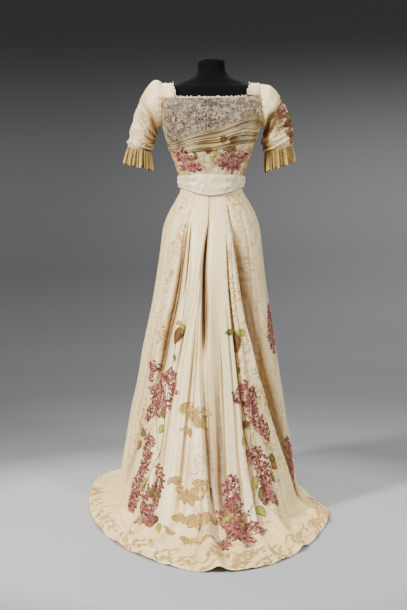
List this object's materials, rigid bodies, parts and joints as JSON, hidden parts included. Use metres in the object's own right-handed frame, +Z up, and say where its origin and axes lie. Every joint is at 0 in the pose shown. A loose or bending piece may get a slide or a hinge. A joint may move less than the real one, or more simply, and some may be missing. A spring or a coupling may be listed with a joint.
{
  "type": "afternoon dress on dress form",
  "caption": "Trained satin afternoon dress with square neck, draped back, belt and ruffled elbow sleeves, worn by a limbless dress form on a round base.",
  "frame": {"origin": "on the floor, at the middle of the dress form's round base", "axes": "+Z up along the pole, +Y to the back along the train, +X to the wearer's left"},
  "size_m": [0.7972, 1.2259, 1.481],
  "materials": {
    "satin": "ivory silk satin",
    "skirt_satin": "ivory silk satin with woven flower sprays",
    "belt_silk": "soft ivory silk",
    "drape_silk": "pleated golden cream silk",
    "lace": "cream lace on a grey lilac lining",
    "chiffon": "gathered chiffon",
    "form_cover": "matte black jersey",
    "form_stand": "satin black"
  },
  "bodies": {
    "root": {"bodice_back": "satin", "bodice_front": "satin", "strap_left": "satin", "strap_right": "satin", "lace_back": "lace", "drape_back": "drape_silk", "neck_edging": "lace", "sleeve_left": "satin", "sleeve_right": "satin", "ruffle_left": "chiffon", "ruffle_right": "chiffon", "belt": "belt_silk", "skirt_front": "skirt_satin", "skirt_side_left": "skirt_satin", "skirt_side_right": "skirt_satin", "skirt_back_left": "skirt_satin", "skirt_back_right": "skirt_satin", "form_torso": "form_cover", "form_pole": "form_stand", "form_base": "form_stand"}
  },
  "joints": []
}
